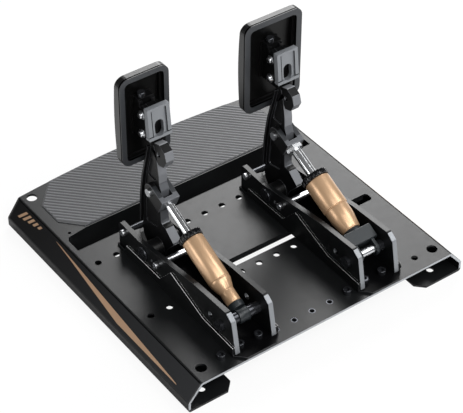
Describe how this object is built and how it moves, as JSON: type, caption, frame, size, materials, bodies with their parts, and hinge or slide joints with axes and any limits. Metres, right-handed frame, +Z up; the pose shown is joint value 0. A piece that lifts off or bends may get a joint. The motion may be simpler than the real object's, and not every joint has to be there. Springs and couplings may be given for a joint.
{
  "type": "sim racing pedal set",
  "caption": "Folded black steel base carrying a throttle and a brake pedal, each on a cheeked bracket with a copper-coloured damper.",
  "frame": {"origin": "on the floor under the middle of the base", "axes": "+X to the driver's right, +Y away from the driver, +Z up"},
  "size_m": [0.389, 0.39, 0.2825],
  "materials": {
    "black_steel": "satin black powder coat",
    "black_aluminium": "satin black anodised",
    "grey_aluminium": "satin grey anodised",
    "copper_aluminium": "copper-coloured anodised, satin",
    "bright_steel": "zinc plated",
    "black_screw": "black oxide",
    "dark_steel": "dark satin",
    "chrome_rod": "polished",
    "bronze": "plain bearing bronze",
    "mat_rubber": "ribbed, matte",
    "black_rubber": "matte"
  },
  "bodies": {
    "frame": {"base_plate": "black_steel", "cross_channel": "black_steel", "channel_screws": "bright_steel", "heel_mat": "mat_rubber", "plate_screws": "bright_steel", "rear_row_nuts": "black_screw", "throttle_bracket": "black_steel", "throttle_outer_cheek": "black_steel", "throttle_inner_cheek": "black_steel", "throttle_floor_screws": "bright_steel", "throttle_stop_bar": "bright_steel", "throttle_rest_bar": "black_screw", "throttle_bar_screws": "bright_steel", "throttle_pivot_shaft": "black_screw", "throttle_shaft_rings": "black_screw", "throttle_lower_pin": "black_screw", "throttle_spacers": "black_screw", "brake_bracket": "black_steel", "brake_outer_cheek": "black_steel", "brake_inner_cheek": "black_steel", "brake_floor_screws": "bright_steel", "brake_stop_bar": "bright_steel", "brake_rest_bar": "black_screw", "brake_bar_screws": "bright_steel", "brake_pivot_shaft": "black_screw", "brake_shaft_rings": "black_screw", "brake_pin_bush": "bright_steel", "brake_lower_pin": "black_screw", "brake_spacers": "black_screw"},
    "throttle_lever": {"throttle_hub_bushes": "bronze", "throttle_arm": "black_aluminium", "throttle_pad": "black_aluminium", "throttle_pad_carrier": "black_aluminium", "throttle_back_plate": "grey_aluminium", "throttle_pad_bolts": "bright_steel", "throttle_height_screw": "black_screw"},
    "throttle_plunger": {"throttle_fork": "dark_steel", "throttle_fork_pin": "bright_steel", "throttle_rod": "chrome_rod", "throttle_piston": "black_aluminium"},
    "throttle_ring": {"throttle_preload_ring": "black_aluminium"},
    "throttle_damper": {"throttle_damper_body": "copper_aluminium", "throttle_bump_stop": "black_rubber", "throttle_rod_end": "dark_steel"},
    "brake_lever": {"brake_hub_bushes": "bronze", "brake_arm": "black_aluminium", "brake_pad": "black_aluminium", "brake_pad_carrier": "black_aluminium", "brake_back_plate": "grey_aluminium", "brake_pad_bolts": "bright_steel", "brake_height_screw": "black_screw"},
    "brake_plunger": {"brake_fork": "dark_steel", "brake_fork_pin": "bright_steel", "brake_rod": "chrome_rod", "brake_piston": "black_aluminium", "brake_jam_nut": "black_screw"},
    "brake_ring": {"brake_preload_ring": "black_aluminium"},
    "brake_damper": {"brake_damper_body": "copper_aluminium", "brake_elastomers": "black_rubber", "brake_load_cell": "dark_steel"}
  },
  "joints": [
    {"name": "throttle_press", "type": "hinge", "parent": "frame", "child": "throttle_lever", "pos_m": [0.0965, 0.006, 0.0565], "axis": [-1, 0, 0], "range_deg": [0, 16], "stiffness_Nm_per_rad": 20, "springref_deg": -8.59},
    {"name": "throttle_damper_tilt", "type": "hinge", "parent": "frame", "child": "throttle_damper", "pos_m": [0.0965, 0.157, 0.062], "axis": [-1, 0, 0], "range_deg": [0, 3.3]},
    {"name": "throttle_rod_stroke", "type": "slide", "parent": "throttle_damper", "child": "throttle_plunger", "axis": [0, 0.9089, -0.4171], "range_m": [0, 0.0204]},
    {"name": "throttle_ring_turn", "type": "hinge", "parent": "throttle_damper", "child": "throttle_ring", "pos_m": [0.0965, 0.157, 0.062], "axis": [0, -0.9089, 0.4171], "continuous": true},
    {"name": "brake_press", "type": "hinge", "parent": "frame", "child": "brake_lever", "pos_m": [-0.0785, 0.006, 0.0565], "axis": [-1, 0, 0], "range_deg": [0, 10], "stiffness_Nm_per_rad": 250, "springref_deg": -1.72},
    {"name": "brake_damper_tilt", "type": "hinge", "parent": "frame", "child": "brake_damper", "pos_m": [-0.0785, 0.157, 0.062], "axis": [-1, 0, 0], "range_deg": [0, 2.3]},
    {"name": "brake_rod_stroke", "type": "slide", "parent": "brake_damper", "child": "brake_plunger", "axis": [0, 0.9089, -0.4171], "range_m": [0, 0.0127]},
    {"name": "brake_ring_turn", "type": "hinge", "parent": "brake_damper", "child": "brake_ring", "pos_m": [-0.0785, 0.157, 0.062], "axis": [0, -0.9089, 0.4171], "continuous": true}
  ],
  "couplings": [
    {"joint": "throttle_damper_tilt", "follows": "throttle_press", "ratio": 0.196},
    {"joint": "throttle_rod_stroke", "follows": "throttle_press", "m_per_rad": 0.0714},
    {"joint": "brake_damper_tilt", "follows": "brake_press", "ratio": 0.207},
    {"joint": "brake_rod_stroke", "follows": "brake_press", "m_per_rad": 0.0702}
  ]
}
